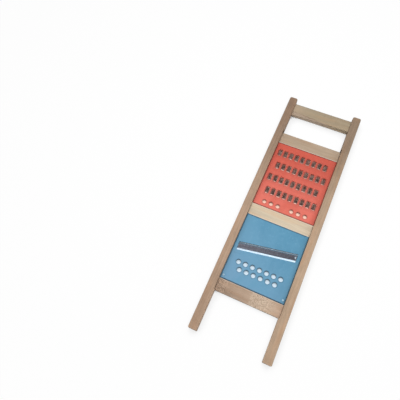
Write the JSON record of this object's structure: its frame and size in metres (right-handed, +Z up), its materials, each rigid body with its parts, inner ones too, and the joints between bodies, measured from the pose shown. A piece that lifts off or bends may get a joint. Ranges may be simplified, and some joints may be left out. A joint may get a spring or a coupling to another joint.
{
  "type": "vegetable cutter",
  "caption": "Hand-held wooden vegetable cutter: a long frame with a handle bar, a moulded grating plate with steel teeth and a moulded slicing plate with an oblique knife.",
  "frame": {"origin": "bottom centre of the whole cutter, on the surface that it lies on", "axes": "+X to the right across the cutter, +Y along it from the legs to the handle bar, +Z up out of the working face"},
  "size_m": [0.1178, 0.4, 0.012],
  "materials": {
    "side_rail_wood": "raw sanded hardwood, tan brown with grey and orange streaks",
    "handle_wood": "raw sanded hardwood, greyish tan",
    "upper_rail_wood": "raw sanded hardwood, greyish tan",
    "middle_rail_wood": "raw sanded hardwood, light cream",
    "lower_rail_wood": "raw sanded hardwood, pinkish tan",
    "red_plastic": "semi-gloss moulded plastic, coral red",
    "blue_plastic": "semi-gloss moulded plastic, steel blue",
    "tooth_steel": "stamped steel, grey with rolling streaks",
    "knife_steel": "ground steel with a polished level strip",
    "pin_steel": "bright domed steel",
    "nail_steel": "dull wire steel"
  },
  "bodies": {
    "root": {"left_side_rail": "side_rail_wood", "right_side_rail": "side_rail_wood", "handle_bar": "handle_wood", "upper_cross_rail": "upper_rail_wood", "middle_cross_rail": "middle_rail_wood", "lower_cross_rail": "lower_rail_wood", "grating_plate": "red_plastic", "tooth_strip_1": "tooth_steel", "tooth_strip_2": "tooth_steel", "tooth_strip_3": "tooth_steel", "tooth_strip_4": "tooth_steel", "slicing_plate": "blue_plastic", "slicing_knife": "knife_steel", "plate_pins": "pin_steel", "cross_rail_nails": "nail_steel", "handle_bar_nails": "nail_steel"}
  },
  "joints": []
}
